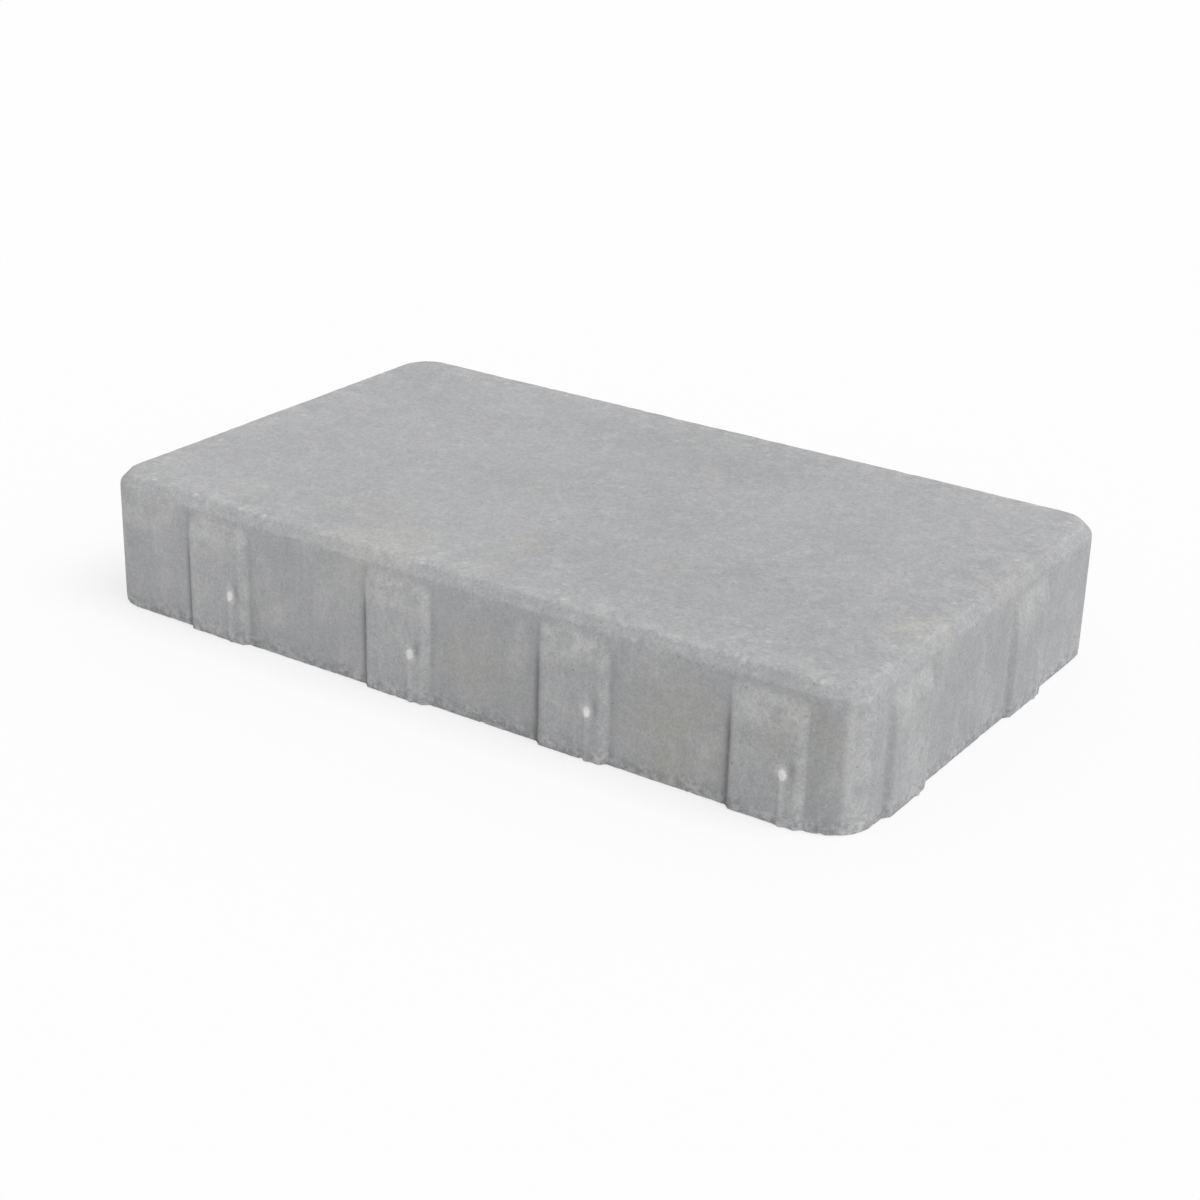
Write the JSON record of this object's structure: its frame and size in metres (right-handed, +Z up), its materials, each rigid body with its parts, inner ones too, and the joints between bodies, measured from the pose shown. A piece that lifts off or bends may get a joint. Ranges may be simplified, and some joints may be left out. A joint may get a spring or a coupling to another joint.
{
  "type": "paving stone",
  "caption": "Flat rectangular concrete paving stone with rounded corners and edges, and raised spacer lugs with nibs on its sides that key it to its neighbours.",
  "frame": {"origin": "middle of the underside, under the middle of the stone", "axes": "+X along the length, +Y along the width, +Z up out of the walking face"},
  "size_m": [0.508, 0.308, 0.08],
  "materials": {
    "concrete": "matte cast concrete"
  },
  "bodies": {
    "root": {"paving_stone": "concrete"}
  },
  "joints": []
}
